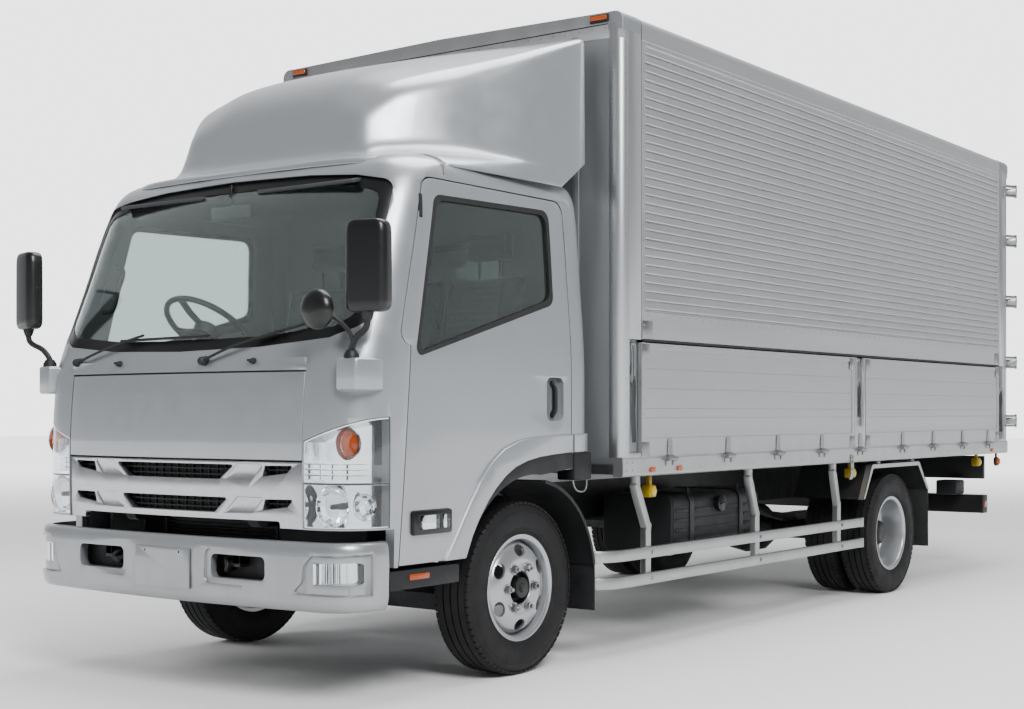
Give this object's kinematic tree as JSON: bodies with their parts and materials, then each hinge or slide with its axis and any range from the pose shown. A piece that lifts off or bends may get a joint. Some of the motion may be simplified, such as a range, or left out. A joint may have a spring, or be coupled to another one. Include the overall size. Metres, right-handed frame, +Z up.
{
  "type": "wing-body truck",
  "caption": "Light box truck with a tilting cab, drop side gates, roof-and-side wings that swing up, rear barn doors and steered front wheels.",
  "frame": {"origin": "middle of the truck's length and width on the ground under the tyres", "axes": "+Z up, +Y rearward along the truck's length, +X to the vehicle's left"},
  "size_m": [2.33, 7.1027, 3.045],
  "materials": {
    "silver_paint": "silver paint",
    "body_aluminium": "plain anodised sheet and extrusion",
    "black_plastic": "grained black",
    "chassis_black": "satin black paint",
    "tyre_rubber": "black rubber",
    "wheel_silver": "silver wheel paint",
    "window_glass": "lightly tinted",
    "lamp_lens": "clear polycarbonate",
    "grille_chrome": "plated plastic",
    "seat_cloth": "dark grey woven cloth",
    "lamp_red": "red lens",
    "steel_grey": "cast housings"
  },
  "bodies": {
    "chassis": {"chassis_frame": "chassis_black", "front_axle": "chassis_black", "rear_axle": "chassis_black", "power_unit": "steel_grey", "fuel_tank": "black_plastic", "battery_box": "black_plastic", "side_guard_left": "body_aluminium", "side_guard_right": "body_aluminium", "front_mudguard_left": "black_plastic", "front_mudguard_right": "black_plastic", "rear_fender_left": "body_aluminium", "rear_fender_right": "body_aluminium", "bumper": "silver_paint", "underride_bar": "chassis_black", "rear_lamp_bar": "lamp_red", "deck": "body_aluminium", "front_wall": "body_aluminium", "body_portal": "body_aluminium"},
    "knuckle_left": {"knuckle_left": "chassis_black"},
    "knuckle_right": {"knuckle_right": "chassis_black"},
    "front_wheel_left": {"wheel_front_left": "wheel_silver", "tyre_front_left": "tyre_rubber"},
    "front_wheel_right": {"wheel_front_right": "wheel_silver", "tyre_front_right": "tyre_rubber"},
    "rear_wheel_left": {"wheel_rear_left": "wheel_silver", "tyre_rear_left_outer": "tyre_rubber", "tyre_rear_left_inner": "tyre_rubber"},
    "rear_wheel_right": {"wheel_rear_right": "wheel_silver", "tyre_rear_right_outer": "tyre_rubber", "tyre_rear_right_inner": "tyre_rubber"},
    "cab": {"cab_shell": "silver_paint", "windscreen": "window_glass", "rear_window": "window_glass", "dashboard": "black_plastic", "seat_driver": "seat_cloth", "seat_bench": "seat_cloth", "grille": "grille_chrome", "headlamp_left": "lamp_lens", "headlamp_right": "lamp_lens", "roof_deflector": "silver_paint", "mirror_left": "black_plastic", "mirror_right": "black_plastic", "step_left": "black_plastic", "step_right": "black_plastic"},
    "front_lid": {"front_lid": "silver_paint"},
    "cab_door_left": {"door_left": "silver_paint", "door_glass_left": "window_glass"},
    "cab_door_right": {"door_right": "silver_paint", "door_glass_right": "window_glass"},
    "wing_left": {"wing_left": "body_aluminium"},
    "wing_right": {"wing_right": "body_aluminium"},
    "gate_front_left": {"gate_front_left": "body_aluminium"},
    "gate_front_right": {"gate_front_right": "body_aluminium"},
    "gate_rear_left": {"gate_rear_left": "body_aluminium"},
    "gate_rear_right": {"gate_rear_right": "body_aluminium"},
    "centre_post_left": {"centre_post_left": "body_aluminium"},
    "centre_post_right": {"centre_post_right": "body_aluminium"},
    "rear_door_left": {"rear_door_left": "body_aluminium"},
    "rear_door_right": {"rear_door_right": "body_aluminium"}
  },
  "joints": [
    {"name": "steer_left", "type": "hinge", "parent": "chassis", "child": "knuckle_left", "pos_m": [0.705, -2.3235, 0.382], "axis": [0, 0, 1], "range_deg": [-36, 36]},
    {"name": "front_wheel_spin_left", "type": "hinge", "parent": "knuckle_left", "child": "front_wheel_left", "pos_m": [0.835, -2.3235, 0.382], "axis": [1, 0, 0], "continuous": true},
    {"name": "rear_wheel_spin_left", "type": "hinge", "parent": "chassis", "child": "rear_wheel_left", "pos_m": [0.825, 1.4915, 0.382], "axis": [1, 0, 0], "continuous": true},
    {"name": "steer_right", "type": "hinge", "parent": "chassis", "child": "knuckle_right", "pos_m": [-0.705, -2.3235, 0.382], "axis": [0, 0, 1], "range_deg": [-36, 36]},
    {"name": "front_wheel_spin_right", "type": "hinge", "parent": "knuckle_right", "child": "front_wheel_right", "pos_m": [-0.835, -2.3235, 0.382], "axis": [1, 0, 0], "continuous": true},
    {"name": "rear_wheel_spin_right", "type": "hinge", "parent": "chassis", "child": "rear_wheel_right", "pos_m": [-0.825, 1.4915, 0.382], "axis": [1, 0, 0], "continuous": true},
    {"name": "cab_tilt", "type": "hinge", "parent": "chassis", "child": "cab", "pos_m": [0, -3.3735, 0.72], "axis": [1, 0, 0], "range_deg": [0, 45]},
    {"name": "front_lid_hinge", "type": "hinge", "parent": "cab", "child": "front_lid", "pos_m": [0, -3.48153, 1.3195], "axis": [1, 0, 0], "range_deg": [-60, 0]},
    {"name": "cab_door_hinge_left", "type": "hinge", "parent": "cab", "child": "cab_door_left", "pos_m": [0.99, -3.2055, 1.3], "axis": [0, 0, 1], "range_deg": [-70, 0]},
    {"name": "cab_door_hinge_right", "type": "hinge", "parent": "cab", "child": "cab_door_right", "pos_m": [-0.99, -3.2055, 1.3], "axis": [0, 0, -1], "range_deg": [-70, 0]},
    {"name": "wing_hinge_left", "type": "hinge", "parent": "chassis", "child": "wing_left", "pos_m": [0.1, 0.8565, 3.045], "axis": [0, -1, 0], "range_deg": [0, 85]},
    {"name": "wing_hinge_right", "type": "hinge", "parent": "chassis", "child": "wing_right", "pos_m": [-0.1, 0.8565, 3.045], "axis": [0, 1, 0], "range_deg": [0, 85]},
    {"name": "gate_hinge_front_left", "type": "hinge", "parent": "chassis", "child": "gate_front_left", "pos_m": [1.128, -0.4235, 0.933], "axis": [0, 1, 0], "range_deg": [0, 180]},
    {"name": "gate_hinge_rear_left", "type": "hinge", "parent": "chassis", "child": "gate_rear_left", "pos_m": [1.128, 2.1265, 0.933], "axis": [0, 1, 0], "range_deg": [0, 180]},
    {"name": "centre_post_hinge_left", "type": "hinge", "parent": "chassis", "child": "centre_post_left", "pos_m": [1.128, 0.8575, 0.933], "axis": [0, 1, 0], "range_deg": [0, 180]},
    {"name": "rear_door_hinge_left", "type": "hinge", "parent": "chassis", "child": "rear_door_left", "pos_m": [1.155, 3.5415, 1.9], "axis": [0, 0, 1], "range_deg": [-260, 0]},
    {"name": "gate_hinge_front_right", "type": "hinge", "parent": "chassis", "child": "gate_front_right", "pos_m": [-1.128, -0.4235, 0.933], "axis": [0, -1, 0], "range_deg": [0, 180]},
    {"name": "gate_hinge_rear_right", "type": "hinge", "parent": "chassis", "child": "gate_rear_right", "pos_m": [-1.128, 2.1265, 0.933], "axis": [0, -1, 0], "range_deg": [0, 180]},
    {"name": "centre_post_hinge_right", "type": "hinge", "parent": "chassis", "child": "centre_post_right", "pos_m": [-1.128, 0.8575, 0.933], "axis": [0, -1, 0], "range_deg": [0, 180]},
    {"name": "rear_door_hinge_right", "type": "hinge", "parent": "chassis", "child": "rear_door_right", "pos_m": [-1.155, 3.5415, 1.9], "axis": [0, 0, -1], "range_deg": [-260, 0]}
  ],
  "couplings": [
    {"joint": "steer_right", "follows": "steer_left", "ratio": 1}
  ]
}
